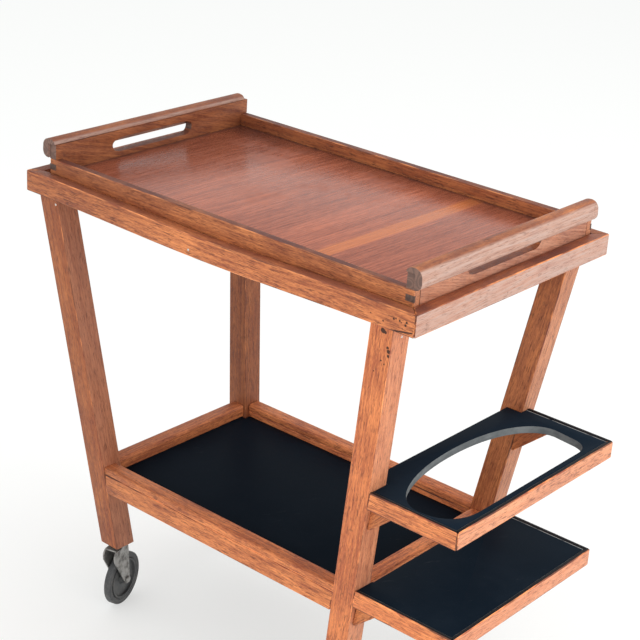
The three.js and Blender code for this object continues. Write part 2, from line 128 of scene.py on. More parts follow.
class Finish:
    """A material whose nodes are written as expressions."""

    def __init__(self, name, roughness=0.5, metallic=0.0, shine=0.5):
        self.material = bpy.data.materials.new(name)
        self.material.use_nodes = True
        self.tree = self.material.node_tree
        self.shader = self.tree.nodes["Principled BSDF"]
        self.set("Roughness", roughness)
        self.set("Metallic", metallic)
        self.set("Specular IOR Level", shine)

    def node(self, kind, settings=None, sockets=None, output=0):
        made = self.tree.nodes.new(kind)
        for key, value in (settings or {}).items():
            setattr(made, key, value)
        for key, value in (sockets or {}).items():
            if isinstance(value, Wire):
                self.tree.links.new(value.socket, made.inputs[key])
            else:
                made.inputs[key].default_value = value
        return Wire(self, made.outputs[output])

    def math(self, operation, *values):
        return self.node("ShaderNodeMath", {"operation": operation}, dict(enumerate(values)))

    def set(self, socket, value):
        if isinstance(value, Wire):
            self.tree.links.new(value.socket, self.shader.inputs[socket])
        else:
            self.shader.inputs[socket].default_value = value

    def place(self, start=(0.0, 0.0, 0.0), turn=(0.0, 0.0, 0.0), stretch=(1.0, 1.0, 1.0)):
        """Object coordinates, moved, turned and stretched."""
        here = self.node("ShaderNodeTexCoord", output="Object")
        sockets = {"Vector": here, "Location": start, "Rotation": turn}
        turned = self.node("ShaderNodeMapping", None, sockets)
        return self.node("ShaderNodeMapping", None, {"Vector": turned, "Scale": stretch})

    def axes(self, vector):
        """The x, y and z values of a vector."""
        split = self.node("ShaderNodeSeparateXYZ", None, {"Vector": vector})
        return [Wire(self, socket) for socket in split.socket.node.outputs]

    def noise(self, vector, scale, detail=2.0, roughness=0.5, distortion=0.0):
        sockets = {"Vector": vector, "Scale": scale, "Detail": detail}
        sockets.update({"Roughness": roughness, "Distortion": distortion})
        return self.node("ShaderNodeTexNoise", None, sockets)

    def rise(self, value, low, high):
        """0 below low, 1 above high, and smooth between; low may be the larger."""
        sockets = {"Value": value, "From Min": low, "From Max": high}
        return self.node("ShaderNodeMapRange", {"interpolation_type": "SMOOTHSTEP"}, sockets)

    def mix(self, share, first, second, blend="MIX"):
        settings = {"data_type": "RGBA", "blend_type": blend}
        sockets = {0: share, 6: opaque(first), 7: opaque(second)}
        return self.node("ShaderNodeMix", settings, sockets, output=2)

    def spots(self, marks):
        """1 inside each of the marks, given as a centre and a radius."""
        here = self.place()
        found = 0.0
        for centre, radius in marks:
            settings = {"operation": "DISTANCE"}
            away = self.node("ShaderNodeVectorMath", settings, {0: here, 1: centre}, output="Value")
            found = self.rise(away, radius * 1.15, radius * 0.7) + found
        return found

    def bump(self, height, strength, distance):
        sockets = {"Height": height, "Strength": strength, "Distance": distance}
        self.set("Normal", self.node("ShaderNodeBump", None, sockets))


def opaque(color):
    """A colour with its alpha, or a wire as it is."""
    return color if isinstance(color, Wire) else (*color[:3], 1.0)


def shade_of(color, amount):
    """A colour made lighter or darker."""
    return tuple(channel * amount for channel in color[:3])


# ---------------------------------------------------------------- sizes and colours


def length(name, description, default):
    return bpy.props.FloatProperty(
        name=name, description=description, default=default, min=0.0, unit="LENGTH", precision=4)


def color(name, description, default):
    return bpy.props.FloatVectorProperty(
        name=name, description=description, default=default, size=3, min=0.0, max=1.0,
        subtype="COLOR")


def angle(name, description, degrees):
    return bpy.props.FloatProperty(
        name=name, description=description, default=math.radians(degrees), subtype="ANGLE")


class BarCartSizes(bpy.types.PropertyGroup):
    """Sizes that only the looks of the cart depend on"""

    arris: length("Arris", "Rounding of the woodwork's edges", 0.0012)
    leg_arris: length("Leg arris", "Rounding of the legs' edges", 0.002)
    board_arris: length("Board arris", "Rounding of the black boards' edges", 0.0006)
    sag: length("Rail sag", "How far the front top rail has sagged at its middle", 0.005)
    steel_edge: length("Steel edge", "Rounding of the forks' edges", 0.0007)
    finger: length("Finger", "Height of the fingers that show at the tray's corners", 0.008)
    nail: length("Nail", "Radius of a nail head", 0.0016)


class BarCartColors(bpy.types.PropertyGroup):
    """Colours of the cart's finishes"""

    oak_light: color("Oak, light", "Pale bands of the oiled oak", (0.84, 0.30, 0.105))
    oak_dark: color("Oak, dark", "Dark bands of the oiled oak", (0.25, 0.062, 0.030))
    # Painted sheen: the two pale colours mixed into the sides that face the light at the right.
    oak_sheen_strong: color("Oak, bleached", "Oak faded by the sun", (0.53, 0.365, 0.305))
    oak_sheen_soft: color("Oak, sunlit", "Oak that has only paled in the sun", (0.72, 0.36, 0.23))
    veneer_light: color("Veneer, light", "Pale streaks of the tray floor", (0.56, 0.165, 0.085))
    veneer_dark: color("Veneer, dark", "Dark streaks of the tray floor", (0.20, 0.046, 0.025))
    sapwood: color("Sapwood", "The light band across the tray floor", (0.66, 0.20, 0.055))
    laminate: color("Laminate", "Black boards", (0.0048, 0.0095, 0.0160))
    steel: color("Steel", "Dull plated steel of the casters", (0.34, 0.335, 0.32))
    rubber: color("Rubber", "Tyres", (0.035, 0.037, 0.040))


class BarCartStage(bpy.types.PropertyGroup):
    """The camera and the studio"""

    eye: bpy.props.FloatVectorProperty(
        name="Eye", description="Where the camera stands", default=(1.2578, -1.5487, 1.3406),
        size=3, subtype="XYZ", unit="LENGTH")
    azimuth: angle("Azimuth", "Camera's bearing round the cart", 39.242)
    elevation: angle("Elevation", "Camera's height above the horizon", 23.042)
    roll: angle("Roll", "Camera's turn about its own axis", 3.771)
    lens: bpy.props.FloatProperty(
        name="Lens", description="Focal length in millimetres", default=93.07, min=10.0)
    floor: color("Floor", "Pale studio floor", (0.93, 0.94, 0.93))


# ---------------------------------------------------------------- finishes


GRAIN_STRETCH = 0.055  # how much slower wood changes along the grain than across it


def stretch_along(axis, amount):
    """A stretch of 1 across the grain and of the amount along it."""
    return [amount if name == axis else 1.0 for name in "XYZ"]


def oak(name, along, start, turn, tone, side_sheen, top_shade_share, marks, strong_sheen=False):
    """Oiled open-grained oak: colour bands, fine streaks and dark pores along the grain."""
    colors = bpy.context.scene.bar_cart_colors
    finish = Finish(name, shine=0.25)
    even = finish.place(start, turn)
    grain = finish.place(start, turn, stretch_along(along, GRAIN_STRETCH))
    broad = finish.noise(grain, 24, 3, 0.5, 0.5)
    rings = finish.math("SINE", broad * 85) * 0.5 + 0.5
    streaks = finish.rise(finish.noise(grain, 330, 4, 0.7), 0.34, 0.66)
    patches = finish.rise(finish.noise(even, 13, 4, 0.6), 0.36, 0.66)
    pore_field = finish.noise(finish.place(start, turn, stretch_along(along, 0.075)), 950, 2, 0.6)
    pores = finish.rise(pore_field, 0.55, 0.66)
    flecks = finish.noise(finish.place(start, turn, stretch_along(along, 0.22)), 780, 2, 0.6)
    share = rings * 0.18 + streaks * 0.40 + patches * 0.30 + (flecks - 0.44) * 0.9
    wood = finish.mix(share, shade_of(colors.oak_dark, tone), shade_of(colors.oak_light, tone))
    red = finish.rise(finish.noise(grain, 8, 2, 0.5), 0.45, 0.7) * 0.3
    wood = finish.mix(red, wood, shade_of((0.46, 0.10, 0.035), tone))

    # Painted light: the side that faces the shelves, towards the light at the right, is paled by a
    # painted sheen.
    x, _, z = finish.axes(finish.node("ShaderNodeNewGeometry", output="Normal"))
    painted_sheen = finish.rise(x, 0.45, 0.8) * side_sheen * (0.55 + streaks * 0.40 + rings * 0.25)
    wood = finish.mix(painted_sheen, wood, colors.oak_sheen_strong if strong_sheen else colors.oak_sheen_soft)
    depth = 0.40 if strong_sheen else 0.75
    wood = finish.mix(pores * depth, wood, shade_of((0.12, 0.034, 0.018), tone))
    # Painted shade: the up-facing tops are darkened.
    top_shade_mask = finish.rise(z, 0.55, 0.85) * top_shade_share * (1.3 - patches * 0.6)
    wood = finish.mix(top_shade_mask, wood, shade_of((0.15, 0.048, 0.036), tone))

    stains = finish.rise(finish.noise(even, 55, 4, 0.7), 0.63, 0.75)
    wood = finish.mix(stains * 0.5, wood, (0.11, 0.055, 0.045))

    # Painted shade: all of it darkens towards the cart's left end.
    away = finish.rise(finish.axes(finish.place())[0], 0.06, -0.34) * 0.34
    wood = finish.mix(away, wood, (0.085, 0.028, 0.020))
    if marks:
        holes = finish.math("MINIMUM", finish.spots(marks), 0.92)
        wood = finish.mix(holes, wood, (0.02, 0.01, 0.008))
    finish.set("Base Color", wood)
    finish.set("Roughness", 0.40 + streaks * 0.16 + stains * 0.2)
    finish.bump(streaks * 0.5 - pores * 0.8, 0.4, 0.0006)
    return finish.material


def end_grain(name, start, tone=1.0):
    """Darker, rougher wood where the fibres are cut across."""
    finish = Finish(name, roughness=0.7)
    here = finish.place(start)
    specks = finish.noise(here, 900, 2, 0.6)
    rings = finish.math("SINE", finish.noise(here, 40, 2, 0.5) * 60) * 0.5 + 0.5
    dark = shade_of((0.075, 0.045, 0.038), tone)
    light = shade_of((0.27, 0.15, 0.11), tone)
    finish.set("Base Color", finish.mix(specks * 0.6 + rings * 0.4, dark, light))
    finish.bump(specks, 0.4, 0.0004)
    return finish.material


def worn_arris(name, along, start, tone):
    """The rubbed edges of the woodwork: paler than the faces, with dirt in broken stretches."""
    colors = bpy.context.scene.bar_cart_colors
    finish = Finish(name, shine=0.35)
    grain = finish.place(start, stretch=stretch_along(along, 0.12))
    rubbed = finish.rise(finish.noise(grain, 160, 4, 0.65), 0.38, 0.66)
    dirt = finish.rise(finish.noise(grain, 60, 4, 0.65), 0.47, 0.62)
    pale = shade_of(colors.oak_light, tone * 1.15)
    wood = finish.mix(rubbed, shade_of(colors.oak_dark, tone), pale)
    wood = finish.mix(dirt * 0.8, wood, (0.065, 0.030, 0.024))
    finish.set("Base Color", wood)
    finish.set("Roughness", 0.34 + dirt * 0.3)
    finish.bump(rubbed, 0.2, 0.0004)
    return finish.material


def tray_veneer(name, low, high):
    """Reddish veneer with its grain across the tray, one band of sapwood, dirt and painted shade
    along its margins, and broader painted shade near its rear side and left end.
    """
    colors = bpy.context.scene.bar_cart_colors
    finish = Finish(name, shine=0.5)
    start = (0.3, 0.1, 0.0)
    askew = (0.0, 0.0, 0.03)
    grain = finish.place(start, askew, stretch_along("Y", 0.045))
    fine = finish.place(start, askew, stretch_along("Y", 0.02))
    broad = finish.noise(grain, 30, 3, 0.55, 0.4)
    streaks = finish.rise(finish.noise(grain, 260, 4, 0.7), 0.32, 0.68)
    lines = finish.rise(finish.noise(fine, 520, 3, 0.6), 0.4, 0.66)
    flecks = finish.noise(finish.place(start, stretch=stretch_along("Y", 0.10)), 820, 3, 0.65)
    share = finish.rise(broad, 0.32, 0.7) * 0.28 + streaks * 0.30 + lines * 0.25
    share = share + (flecks - 0.42) * 1.3
    wood = finish.mix(share, colors.veneer_dark, colors.veneer_light)

    x, y, _ = finish.axes(finish.place())
    band_middle = low.x + 0.732 * (high.x - low.x)
    wander = (finish.noise(finish.place(), 14, 3, 0.5) - 0.5) * 0.008 - y * 0.02
    aside = finish.math("ABSOLUTE", x + wander - band_middle)
    band = finish.rise(aside, 0.0135, 0.0075) * (0.30 + lines * 0.35 + flecks * 0.35)
    wood = finish.mix(band, wood, colors.sapwood)

    # Dirt and painted shade: the floor darkens in a narrow band along the tray's walls.
    middle = (low + high) / 2
    half = (high - low) / 2
    from_side = half.y - finish.math("ABSOLUTE", y - middle.y)
    from_end = half.x - finish.math("ABSOLUTE", x - middle.x)
    smudge = (finish.noise(finish.place(), 45, 4, 0.65) - 0.5) * 0.022
    margin_dirt_and_shade = finish.rise(finish.math("MINIMUM", from_side, from_end) + smudge, 0.012, -0.001)
    wood = finish.mix(margin_dirt_and_shade * 0.75, wood, (0.045, 0.02, 0.017))
    # Painted shade: broader darkening near the rear side and towards the left end.
    painted_wall_shade = finish.rise(high.y - y + smudge * 1.5, 0.055, 0.012) * 0.45
    painted_wall_shade = painted_wall_shade + finish.rise(x - low.x + smudge * 3, 0.16, 0.03) * 0.4
    wood = finish.mix(painted_wall_shade, wood, (0.085, 0.026, 0.018))

    rubbed = finish.rise(finish.noise(finish.place(), 18, 5, 0.65), 0.5, 0.72)
    finish.set("Base Color", wood)
    finish.set("Roughness", 0.23 + streaks * 0.07 + rubbed * 0.12 + margin_dirt_and_shade * 0.2)
    finish.bump(lines * 0.5 + streaks * 0.5, 0.16, 0.0004)
    return finish.material


def black_laminate(name, start, lightness=1.0, margin=None):
    """Black board with faint scuffs and dust.

    Lightness scales its colour all over; margin is the y of a pale line along its back edge.
    """
    colors = bpy.context.scene.bar_cart_colors
    finish = Finish(name, shine=0.012)
    here = finish.place(start)
    scuffs = finish.noise(finish.place(start, (0.0, 0.0, 0.5), (1.0, 0.12, 1.0)), 130, 5, 0.75)
    scratches = finish.rise(scuffs, 0.63, 0.72)
    cloud = finish.rise(finish.noise(here, 13, 4, 0.6), 0.4, 0.75)
    dust = finish.rise(finish.noise(here, 700, 2, 0.6), 0.68, 0.76)
    board = finish.mix(
        cloud * 0.6, shade_of(colors.laminate, lightness), shade_of((0.0095, 0.0150, 0.0225), lightness))
    board = finish.mix(scratches * 0.10 + dust * 0.14, board, (0.16, 0.17, 0.18))
    if margin is not None:
        y = finish.axes(finish.place())[1]
        broken = finish.rise(finish.noise(finish.place(start), 60, 3, 0.6), 0.30, 0.55)
        line = finish.rise(finish.math("ABSOLUTE", y - margin), 0.0012, 0.0004) * broken
        board = finish.mix(line * 0.75, board, (0.45, 0.46, 0.45))
    finish.set("Base Color", board)
    finish.set("Roughness", 0.42 + cloud * 0.14 + scratches * 0.1)
    finish.bump(finish.noise(here, 1500, 2, 0.5), 0.05, 0.0003)
    return finish.material


def board_edge(name, light, dark):
    """The sawn edge of a black board."""
    finish = Finish(name, roughness=0.6)
    layers = finish.noise(finish.place(stretch=(0.15, 0.15, 1.0)), 420, 3, 0.6)
    smears = finish.rise(finish.noise(finish.place(), 38, 4, 0.6), 0.35, 0.7)
    finish.set("Base Color", finish.mix(layers * 0.5 + smears * 0.5, dark, light))
    finish.bump(layers, 0.3, 0.0004)
    return finish.material


def dark_strip_top(name, along, start):
    """The dark top of an edging strip, with dirt and a little wood showing through."""
    finish = Finish(name, shine=0.1)
    grain = finish.place(start, stretch=stretch_along(along, 0.08))
    streaks = finish.rise(finish.noise(grain, 240, 4, 0.65), 0.35, 0.7)
    bare = finish.rise(finish.noise(grain, 45, 3, 0.6), 0.6, 0.75)
    dark_top = finish.mix(streaks, (0.007, 0.009, 0.012), (0.022, 0.019, 0.020))
    finish.set("Base Color", finish.mix(bare * 0.3, dark_top, (0.22, 0.08, 0.05)))
    finish.set("Roughness", 0.45 + streaks * 0.15)
    finish.bump(streaks, 0.25, 0.0004)
    return finish.material


def plated_steel(name):
    """Dull plated steel with dark tarnish and rubbed bright places."""
    colors = bpy.context.scene.bar_cart_colors
    finish = Finish(name, metallic=0.75)
    tarnish = finish.rise(finish.noise(finish.place(), 90, 5, 0.65), 0.4, 0.68)
    grains = finish.noise(finish.place(), 1400, 2, 0.5)
    steel = finish.mix(tarnish, colors.steel, shade_of(colors.steel, 0.42))
    finish.set("Base Color", finish.mix(grains * 0.2, steel, (0.12, 0.08, 0.06)))
    finish.set("Roughness", 0.38 + tarnish * 0.25)
    finish.bump(grains, 0.12, 0.0003)
    return finish.material


def wheel_plastic(name):
    """The moulded wheel disc, dusty in patches."""
    finish = Finish(name)
    dust = finish.rise(finish.noise(finish.place(), 70, 5, 0.7), 0.42, 0.7)
    stipple = finish.noise(finish.place(), 1800, 2, 0.5)
    finish.set("Base Color", finish.mix(dust, (0.030, 0.032, 0.034), (0.105, 0.105, 0.100)))
    finish.set("Roughness", 0.42 + dust * 0.25)
    finish.bump(stipple, 0.15, 0.0003)
    return finish.material


def tyre_rubber(name):
    """Old hard rubber, greyed by the floor."""
    colors = bpy.context.scene.bar_cart_colors
    finish = Finish(name)
    dust = finish.rise(finish.noise(finish.place(), 110, 5, 0.7), 0.38, 0.7)
    pits = finish.rise(finish.noise(finish.place(), 800, 3, 0.6), 0.55, 0.7)
    finish.set("Base Color", finish.mix(dust * 0.7, colors.rubber, (0.13, 0.128, 0.122)))
    finish.set("Roughness", 0.5 + dust * 0.25)
    finish.bump(1.0 - pits, 0.3, 0.0004)
    return finish.material


def nail_metal(name, base):
    """Bright scuffed metal."""
    finish = Finish(name, metallic=0.6)
    scuffs = finish.noise(finish.place(), 900, 3, 0.6)
    finish.set("Base Color", finish.mix(scuffs, base, shade_of(base, 0.6)))
    finish.set("Roughness", 0.3 + scuffs * 0.2)
    return finish.material


# ---------------------------------------------------------------- modelling


def pick(piece):
    """Makes a piece the only one that operators act on."""
    bpy.ops.object.select_all(action="DESELECT")
    piece.select_set(True)
    bpy.context.view_layer.objects.active = piece


def modify(piece, kind, **settings):
    """Adds a modifier to a piece and applies it."""
    pick(piece)
    modifier = piece.modifiers.new(kind.title(), kind)
    for key, value in settings.items():
        setattr(modifier, key, value)
    bpy.ops.object.modifier_apply(modifier=modifier.name)


def ease_edges(piece, width, segments=3, material=-1, limit=SHARP_EDGE):
    """Rounds a piece's sharp edges; the rounding takes the given finish, or that of its faces."""
    modify(piece, "BEVEL", width=width, segments=segments, limit_method="ANGLE",
           angle_limit=limit, material=material, use_clamp_overlap=True)


def smooth(piece):
    """Shades the gentle edges as curved and the others as sharp."""
    pick(piece)
    bpy.ops.object.shade_smooth_by_angle(angle=SOFT_EDGE)


def select_faces(mesh, wanted):
    """In edit mode, leaves only the wanted faces selected."""
    bpy.ops.mesh.select_all(action="DESELECT")
    work = bmesh.from_edit_mesh(mesh)
    for face in work.faces:
        face.select_set(wanted(face))
    bmesh.update_edit_mesh(mesh)


def copy_of(node, name):
    """A merged copy of a CAD node's mesh, its flat faces whole again."""
    pick(frame["nodes"][node])
    bpy.ops.object.duplicate()
    piece = bpy.context.active_object
    piece.name = piece.data.name = name
    del piece["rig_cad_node"]
    bpy.ops.object.mode_set(mode="EDIT")
    bpy.ops.mesh.select_all(action="SELECT")
    bpy.ops.mesh.remove_doubles(threshold=MERGE)
    bpy.ops.mesh.dissolve_limited(angle_limit=FLAT)
    bpy.ops.object.mode_set(mode="OBJECT")
    return piece


def paint(piece, finishes, rule=None):
    """Gives a piece its finishes; rule names a face's finish from its normal and centre."""
    piece.data.materials.clear()
    for finish in finishes:
        piece.data.materials.append(finish)
    for face in piece.data.polygons:
        face.material_index = rule(face.normal, face.center) if rule else FACE


def settle(piece, body, slot, *nodes):
    """Puts a finished piece on its body, in place of the CAD nodes it stands for."""
    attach(piece, body)
    if nodes:
        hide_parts(*nodes)


def ends_along(axis):
    """A rule that finds the faces cut across the grain."""
    index = "XYZ".index(axis)
    return lambda normal, centre: END if abs(normal[index]) > 0.9 else FACE


def wooden(node, along, body="frame", turn=(0.0, 0.0, 0.0), tone=1.0, side_sheen=0.45, top_shade_share=0.5,
           arris=None, marks=(), shape=None, rule=None, slot="oak", strong_sheen=False):
    """A wooden piece worked up from its CAD node: grain, end grain and rubbed arrises."""
    seed = random.Random(node)
    start = [seed.uniform(-9.0, 9.0) for _ in range(3)]
    tone = tone * seed.uniform(0.93, 1.07)
    piece = copy_of(node, f"{node}_wood")
    if shape:
        shape(piece)
    finishes = [
        oak(f"{node}_oak", along, start, turn, tone, side_sheen, top_shade_share, marks, strong_sheen),
        end_grain(f"{node}_end", start),
        worn_arris(f"{node}_arris", along, start, tone),
    ]
    paint(piece, finishes, rule or ends_along(along))
    ease_edges(piece, arris or bpy.context.scene.bar_cart_sizes.arris, material=ARRIS)
    smooth(piece)
    settle(piece, body, slot, node)
    return piece


# ---------------------------------------------------------------- operators


class BarCartOperator(bpy.types.Operator):
    """Shared by the cart's operators"""

    bl_options = {"REGISTER", "UNDO"}

    @property
    def sizes(self):
        return bpy.context.scene.bar_cart_sizes

    def darken_ends(self, piece):
        """Gives the edges round a piece's two ends the finish of the end grain."""
        ends = [corner[1] for corner in piece.bound_box]
        depth = self.sizes.arris * 1.2
        for face in piece.data.polygons:
            if min(face.center.y - min(ends), max(ends) - face.center.y) < depth:
                face.material_index = END


class BARCART_OT_top_frame(BarCartOperator):
    """Make the mitred top frame and the bearers that the tray stands on"""

    bl_idname = "bar_cart.top_frame"
    bl_label = "Top Frame"

    def execute(self, context):
        low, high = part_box("front_top_rail")
        face = low.y
        right = high.x
        wormholes = (  # distance from the rail's right end, height and radius
            (0.0295, 0.6350, 0.0015), (0.0265, 0.6362, 0.0011), (0.0212, 0.6351, 0.0014),
            (0.0190, 0.6338, 0.0009), (0.0115, 0.6359, 0.0015), (0.0130, 0.6322, 0.0017),
            (0.0170, 0.6270, 0.0009), (0.0440, 0.6280, 0.0012), (0.0620, 0.6320, 0.0009),
        )
        holes = [(Vector((right - away, face, z)), radius) for away, z, radius in wormholes]
        crack = [
            (Vector((right - 0.034 + 0.0016 * step, face, 0.6203 + 0.00028 * step)), 0.0011)
            for step in range(20)
        ]
        wooden("front_top_rail", "X", tone=1.1, marks=holes + crack, shape=self.let_sag)
        wooden("rear_top_rail", "X", tone=0.95)
        wooden("left_top_rail", "Y")
        wooden("right_top_rail", "Y", side_sheen=0.85, top_shade_share=0.75, strong_sheen=True)
        for name in ("front", "rear"):
            wooden(f"{name}_tray_bearer", "X", tone=0.9, slot="pale_oak")
        return {"FINISHED"}

    def let_sag(self, rail):
        """Cuts the rail into lengths and lets its middle hang, fixed at its ends."""
        pick(rail)
        span = rail.dimensions.x
        middle = sum(vertex.co.x for vertex in rail.data.vertices) / len(rail.data.vertices)
        bpy.ops.object.mode_set(mode="EDIT")
        work = bmesh.from_edit_mesh(rail.data)
        bpy.ops.mesh.select_all(action="DESELECT")
        for edge in work.edges:
            edge.select_set(abs(edge.verts[0].co.x - edge.verts[1].co.x) > span * 0.8)
        bmesh.update_edit_mesh(rail.data)
        bpy.ops.mesh.subdivide(number_cuts=SAG_CUTS)
        bpy.ops.mesh.select_all(action="DESELECT")
        work = bmesh.from_edit_mesh(rail.data)
        for vertex in work.verts:
            vertex.select_set(abs(vertex.co.x - middle) < span * 0.02)
        bmesh.update_edit_mesh(rail.data)
        bpy.ops.transform.translate(
            value=(0.0, 0.0, -self.sizes.sag), use_proportional_edit=True,
            proportional_edit_falloff="SMOOTH", proportional_size=span * 0.47)
        bpy.ops.object.mode_set(mode="OBJECT")


class BARCART_OT_legs(BarCartOperator):
    """Make the four leaning legs"""

    bl_idname = "bar_cart.legs"
    bl_label = "Legs"

    def execute(self, context):
        for corner in CORNERS:
            low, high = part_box(f"{corner}_leg")
            height = high.z - low.z
            across = math.atan((high.x - low.x - LEG_THICKNESS) / height)
            along = math.atan((high.y - low.y - LEG_THICKNESS) / height)
            turn = (
                -along if "front" in corner else along,
                -across if "right" in corner else across,
                0.0,
            )
            # Painted sheen on the legs' right sides, left off the rear-left leg.
            side_sheen = 0.0 if corner == "rear_left" else 0.4
            marks = self.holes() if corner == "front_right" else ()
            wooden(f"{corner}_leg", "Z", turn=turn, tone=LEG_SHADE_AND_TONE[corner], side_sheen=side_sheen,
                   arris=self.sizes.leg_arris, marks=marks)
        return {"FINISHED"}

    def holes(self):
        """An open knot at the top of the leg, a dark bruise below it, and a few wormholes."""
        low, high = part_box("front_right_leg")
        face = low.y + 0.0004
        marks = (  # distance from the leg's right side, distance down it and radius
            (0.0140, 0.0045, 0.0036), (0.0105, 0.0058, 0.0022), (0.0024, 0.0285, 0.0028),
            (0.0044, 0.0240, 0.0020), (0.0018, 0.0345, 0.0022), (0.0110, 0.0430, 0.0013),
            (0.0060, 0.0465, 0.0012), (0.0190, 0.0600, 0.0010),
        )
        in_x, in_y = LEG_LEAN
        return [
            (Vector((high.x - away - down * in_x, face + down * in_y, high.z - down)), radius)
            for away, down, radius in marks
        ]


class BARCART_OT_main_shelf(BarCartOperator):
    """Make the main shelf: its rails, battens, rounded lips and black board"""

    bl_idname = "bar_cart.main_shelf"
    bl_label = "Main Shelf"

    def execute(self, context):
        for name in ("front", "rear"):
            wooden(f"{name}_shelf_rail", "X", tone=1.2)
            wooden(f"{name}_shelf_lip", "X", tone=1.15, top_shade_share=0.05)
        for name in ("left", "right"):
            wooden(f"{name}_shelf_lip", "Y", tone=1.25, side_sheen=0.0, top_shade_share=0.0)
            wooden(f"{name}_shelf_batten", "Y", tone=0.95, slot="pale_oak")
        panel = copy_of("shelf_panel", "shelf_board")
        finishes = [
            black_laminate("shelf_laminate", (1.0, 2.0, 0.0)),
            board_edge("shelf_board_edge", (0.35, 0.27, 0.20), (0.16, 0.11, 0.08)),
        ]
        paint(panel, finishes, lambda normal, centre: END if abs(normal.z) < 0.5 else FACE)
        ease_edges(panel, self.sizes.board_arris, 2)
        smooth(panel)
        settle(panel, "frame", "black_laminate", "shelf_panel")
        return {"FINISHED"}


class BARCART_OT_side_shelves(BarCartOperator):
    """Make the two side shelves with their edging and brackets"""

    bl_idname = "bar_cart.side_shelves"
    bl_label = "Side Shelves"

    def execute(self, context):
        for shelf in ("upper", "lower"):
            self.make_board(shelf)
            for name, along in (("front", "X"), ("rear", "X"), ("outer", "Y")):
                self.make_strip(shelf, name, along)
            for name in ("front", "rear"):
                wooden(f"{shelf}_{name}_bracket", "X", turn=(0.0, math.radians(45), 0.0), tone=0.9,
                       rule=lambda normal, centre: FACE)
        return {"FINISHED"}

    def make_board(self, shelf):
        low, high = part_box(f"{shelf}_side_panel")
        board = copy_of(f"{shelf}_side_panel", f"{shelf}_side_board")
        finishes = [
            black_laminate(f"{shelf}_side_laminate", (low.x * 7, high.z * 9, 0.0),
                           1.9 if shelf == "upper" else 1.35, high.y - 0.0008),
            board_edge(f"{shelf}_side_board_edge", (0.19, 0.21, 0.215), (0.055, 0.065, 0.07)),
        ]
        paint(board, finishes, lambda normal, centre: END if abs(normal.z) < 0.5 else FACE)
        ease_edges(board, self.sizes.board_arris, 2)
        smooth(board)
        settle(board, "frame", "black_laminate", f"{shelf}_side_panel")

    def make_strip(self, shelf, name, along):
        node = f"{shelf}_side_{name}_strip"
        strip = wooden(node, along, tone=1.32, side_sheen=0.6, top_shade_share=0.0, arris=0.0019,
                       rule=lambda normal, centre: FACE)
        strip.data.materials.append(dark_strip_top(f"{node}_dark_top_finish", along, (0.0, 0.0, 0.0)))
        dark_top = len(strip.data.materials) - 1
        outwards = Vector({"front": (0, -1, 0), "rear": (0, 1, 0), "outer": (1, 0, 0)}[name])
        for face in strip.data.polygons:
            beside_board = face.normal.z > 0.2 and face.normal.dot(outwards) < 0.05
            if face.normal.z > 0.8 or beside_board:
                face.material_index = dark_top


class BARCART_OT_tray(BarCartOperator):
    """Make the lift-off tray: sides, end boards, floor and the fingers at its corners"""

    bl_idname = "bar_cart.tray"
    bl_label = "Tray"

    def execute(self, context):
        for name in ("front", "rear"):
            wooden(f"tray_{name}_side", "X", body="tray", tone=0.78, top_shade_share=0.75,
                   rule=lambda normal, centre: FACE)
        # Painted light: the right end board is made lighter and given the painted side sheen; the
        # left one is not.
        for name, side_sheen in (("left", 0.0), ("right", 0.4)):
            board = wooden(f"tray_{name}_end_board", "Y", body="tray", tone=0.70 + side_sheen * 0.6,
                           turn=(0.25, 0.0, 0.0), side_sheen=side_sheen, strong_sheen=True)
            self.darken_ends(board)
        low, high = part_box("tray_floor")
        veneer = copy_of("tray_floor", "tray_floor_veneer")
        paint(veneer, [tray_veneer("tray_veneer", low, high)])
        ease_edges(veneer, self.sizes.board_arris, 2)
        smooth(veneer)
        settle(veneer, "tray", "floor_veneer", "tray_floor")
        self.make_fingers()
        return {"FINISHED"}

    def make_fingers(self):
        """The ends of the end boards' fingers, at the outside of the front and rear sides."""
        width = END_BOARD + 2 * FINGER_PROUD
        for name in ("front", "rear"):
            low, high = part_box(f"tray_{name}_side")
            face = low.y if name == "front" else high.y
            inwards = 1 if name == "front" else -1
            y = face + inwards * (FINGER_DEPTH / 2 - FINGER_PROUD)
            for end, x in (("left", low.x + END_BOARD / 2), ("right", high.x - END_BOARD / 2)):
                bpy.ops.object.select_all(action="DESELECT")
                bpy.ops.mesh.primitive_cube_add(size=1.0)
                finger = bpy.context.active_object
                finger.name = finger.data.name = f"tray_{name}_{end}_finger"
                bpy.ops.transform.resize(value=(width, FINGER_DEPTH, self.sizes.finger))
                bpy.ops.transform.translate(value=(x, y, FINGER_MIDDLE))
                bpy.ops.object.transform_apply(location=True, rotation=True, scale=True)
                paint(finger, [end_grain(f"{finger.name}_end", (x, face, 0.0), 0.6)])
                ease_edges(finger, 0.0003, 2)
                smooth(finger)
                settle(finger, "tray", "oak")


class BARCART_OT_handles(BarCartOperator):
    """Make the two faceted grip bars on the end boards"""

    bl_idname = "bar_cart.handles"
    bl_label = "Handles"

    def execute(self, context):
        for name in ("left", "right"):
            handle = wooden(f"tray_{name}_handle", "Y", body="tray", tone=0.85, side_sheen=0.85, top_shade_share=0.3,
                            strong_sheen=True)
            self.darken_ends(handle)
        return {"FINISHED"}


